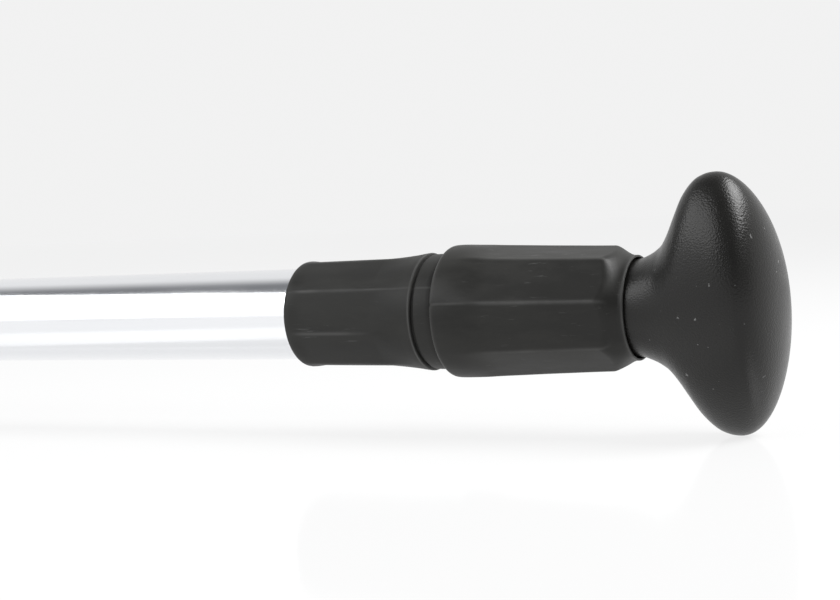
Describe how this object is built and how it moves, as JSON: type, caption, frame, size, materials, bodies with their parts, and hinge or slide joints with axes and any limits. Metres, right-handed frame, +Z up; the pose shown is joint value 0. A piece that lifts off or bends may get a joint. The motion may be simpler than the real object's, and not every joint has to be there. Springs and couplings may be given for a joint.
{
  "type": "adjustable paddle",
  "caption": "Adjustable paddle: palm grip, telescoping round aluminium shaft with a ribbed twist lock, push-button take-apart joint and a broad moulded blade.",
  "frame": {"origin": "centre of the bounding box in plan, on the surface the paddle lies on", "axes": "+X along the shaft from blade tip to grip, +Z up from the surface, square to the shaft and the blade's width"},
  "size_m": [1.66, 0.185, 0.0783],
  "materials": {
    "grip_plastic": "black moulded plastic, fine pebbled texture, semi-gloss",
    "nut_plastic": "black moulded plastic, satin",
    "collar_plastic": "black moulded plastic, satin to matte",
    "fitting_plastic": "black moulded plastic",
    "blade_plastic": "black moulded polypropylene, satin",
    "natural_nylon": "natural nylon",
    "polished_aluminium": "bright polished tube, fine scratches",
    "plain_aluminium": "plain",
    "stainless_steel": "polished",
    "foam": "closed-cell foam"
  },
  "bodies": {
    "shaft": {"main_tube": "polished_aluminium", "lock_collar": "collar_plastic", "joint_sleeve": "fitting_plastic", "coupling_insert": "plain_aluminium", "coupling_rivet_1": "plain_aluminium", "coupling_rivet_2": "plain_aluminium", "joint_ring": "fitting_plastic", "snap_spring": "stainless_steel", "lower_tube": "polished_aluminium", "lower_tube_plug": "foam", "blade": "blade_plastic", "blade_rivet_1": "plain_aluminium", "blade_rivet_2": "plain_aluminium"},
    "collet": {"split_collet": "natural_nylon"},
    "nut": {"clamp_nut": "nut_plastic"},
    "slider": {"guide_bush": "natural_nylon"},
    "handle": {"inner_tube": "polished_aluminium", "inner_tube_plug": "foam", "palm_grip": "grip_plastic"},
    "button": {"snap_button": "stainless_steel"}
  },
  "joints": [
    {"name": "collet_slide", "type": "slide", "parent": "shaft", "child": "collet", "axis": [1, 0, 0], "range_m": [0, 0.001]},
    {"name": "nut_turn", "type": "hinge", "parent": "collet", "child": "nut", "pos_m": [0.7122, 0, 0.0392], "axis": [1, 0, 0], "range_deg": [0, 180]},
    {"name": "height_slide", "type": "slide", "parent": "shaft", "child": "slider", "axis": [1, 0, 0], "range_m": [0, 0.43]},
    {"name": "grip_swivel", "type": "hinge", "parent": "slider", "child": "handle", "pos_m": [0.7122, 0, 0.0392], "axis": [1, 0, 0], "continuous": true},
    {"name": "button_press", "type": "slide", "parent": "shaft", "child": "button", "axis": [0, 0, -1], "range_m": [0, 0.006], "stiffness_N_per_m": 1500, "springref_m": -0.002, "deforming": ["snap_spring"]}
  ],
  "couplings": [
    {"joint": "collet_slide", "follows": "nut_turn", "m_per_rad": 0.00031831}
  ]
}
